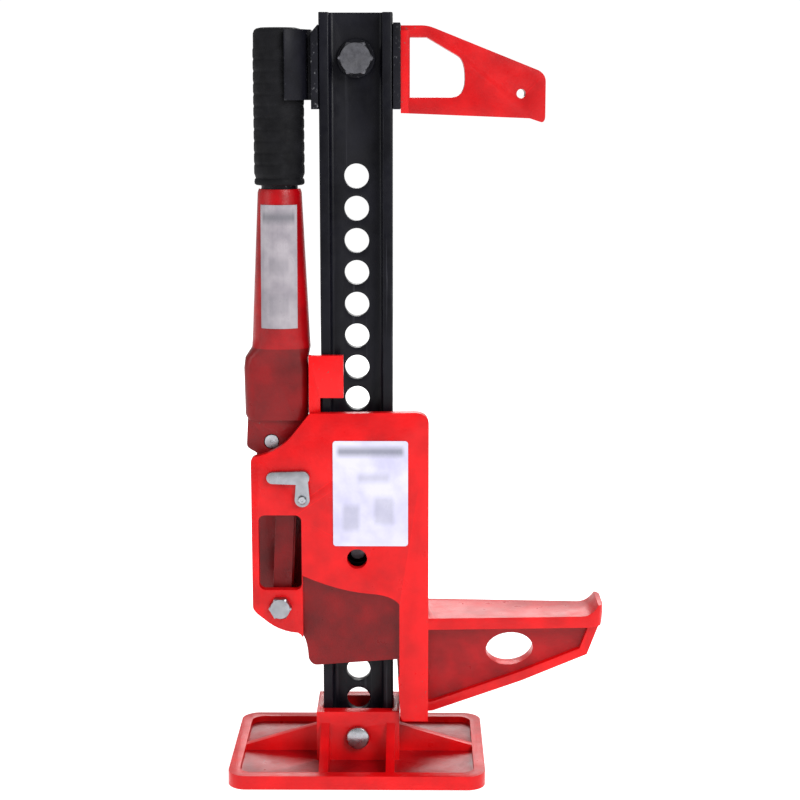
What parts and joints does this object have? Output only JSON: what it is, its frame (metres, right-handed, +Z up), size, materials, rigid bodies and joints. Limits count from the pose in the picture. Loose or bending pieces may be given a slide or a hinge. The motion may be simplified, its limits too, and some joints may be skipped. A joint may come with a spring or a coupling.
{
  "type": "ratchet lifting jack",
  "caption": "Short farm jack: a toe on a ratcheting runner climbs a notched steel bar, worked by a stowed lever handle, with a top clamp jaw and a base plate.",
  "frame": {"origin": "centre of the base plate's underside, on the bar's axis, at floor level", "axes": "+X the way the toe points, +Y from the labelled face to the climbing-pin side, +Z up the bar"},
  "size_m": [0.3035, 0.1563, 0.61],
  "materials": {
    "red_cast_paint": "gloss enamel over rough cast iron",
    "red_part_paint": "gloss enamel over formed steel",
    "black_bar_paint": "satin black enamel",
    "black_rubber": "matte moulded rubber",
    "zinc_plate": "bright zinc plating",
    "spring_steel": "bare oiled spring steel",
    "blank_white_label": "blank laminated label",
    "blank_silver_label": "blank metallised label"
  },
  "bodies": {
    "standard": {"standard_bar": "black_bar_paint", "base_plate": "red_cast_paint", "base_pin": "zinc_plate", "base_pin_cotter": "zinc_plate", "top_clamp_yoke": "black_bar_paint", "top_clamp_jaw": "red_cast_paint", "clamp_bolt": "zinc_plate", "clamp_washer": "zinc_plate", "clamp_spacer": "zinc_plate", "clamp_nut": "zinc_plate", "handle_keeper": "black_bar_paint"},
    "large_runner_body": {"large_runner": "red_cast_paint", "runner_label": "blank_white_label", "pitman_bolt": "zinc_plate", "pitman_nut": "zinc_plate", "pitman_spacer": "zinc_plate", "lower_pin_cage": "zinc_plate", "lower_cage_screw_low": "zinc_plate", "lower_cage_screw_high": "zinc_plate", "lower_pin_spring": "spring_steel"},
    "small_runner_body": {"small_runner": "red_cast_paint", "fulcrum_pin": "zinc_plate", "upper_pin_cage": "zinc_plate", "upper_cage_screw_low": "zinc_plate", "upper_cage_screw_high": "zinc_plate", "upper_pin_spring": "spring_steel"},
    "handle": {"handle_socket": "red_part_paint", "handle_tube": "black_bar_paint", "handle_grip": "black_rubber", "handle_label": "blank_silver_label", "socket_screw": "zinc_plate", "crank_pin_front": "zinc_plate", "crank_pin_rear": "zinc_plate"},
    "pitmans": {"pitman_front": "red_part_paint", "pitman_rear": "red_part_paint"},
    "reversing_latch": {"latch_lever": "zinc_plate", "latch_shaft": "zinc_plate", "latch_fork": "zinc_plate"},
    "lower_pin": {"lower_climbing_pin": "zinc_plate", "lower_cross_pin": "zinc_plate"},
    "upper_pin": {"upper_climbing_pin": "zinc_plate", "upper_cross_pin": "zinc_plate"}
  },
  "joints": [
    {"name": "lift_travel", "type": "slide", "parent": "standard", "child": "large_runner_body", "axis": [0, 0, 1], "range_m": [0, 0.1524]},
    {"name": "small_runner_slide", "type": "slide", "parent": "large_runner_body", "child": "small_runner_body", "axis": [0, 0, 1], "range_m": [-0.0254, 0]},
    {"name": "handle_swing", "type": "hinge", "parent": "small_runner_body", "child": "handle", "pos_m": [-0.069, 0, 0.272], "axis": [0, -1, 0], "range_deg": [0, 90]},
    {"name": "pitman_swing", "type": "hinge", "parent": "large_runner_body", "child": "pitmans", "pos_m": [-0.062, 0, 0.1392], "axis": [0, -1, 0], "range_deg": [0, 0.95]},
    {"name": "latch_turn", "type": "hinge", "parent": "large_runner_body", "child": "reversing_latch", "pos_m": [-0.0435, 0, 0.2288], "axis": [0, 1, 0], "range_deg": [0, 30]},
    {"name": "lower_pin_slide", "type": "slide", "parent": "large_runner_body", "child": "lower_pin", "axis": [0, 1, 0], "range_m": [0, 0.014], "stiffness_N_per_m": 600, "springref_m": -0.01, "deforming": ["lower_pin_spring"]},
    {"name": "upper_pin_slide", "type": "slide", "parent": "small_runner_body", "child": "upper_pin", "axis": [0, -1, 0], "range_m": [0, 0.012], "deforming": ["upper_pin_spring"]}
  ],
  "couplings": [
    {"joint": "small_runner_slide", "follows": "handle_swing", "m_per_rad": -0.01617},
    {"joint": "pitman_swing", "follows": "handle_swing", "ratio": 0.01}
  ]
}
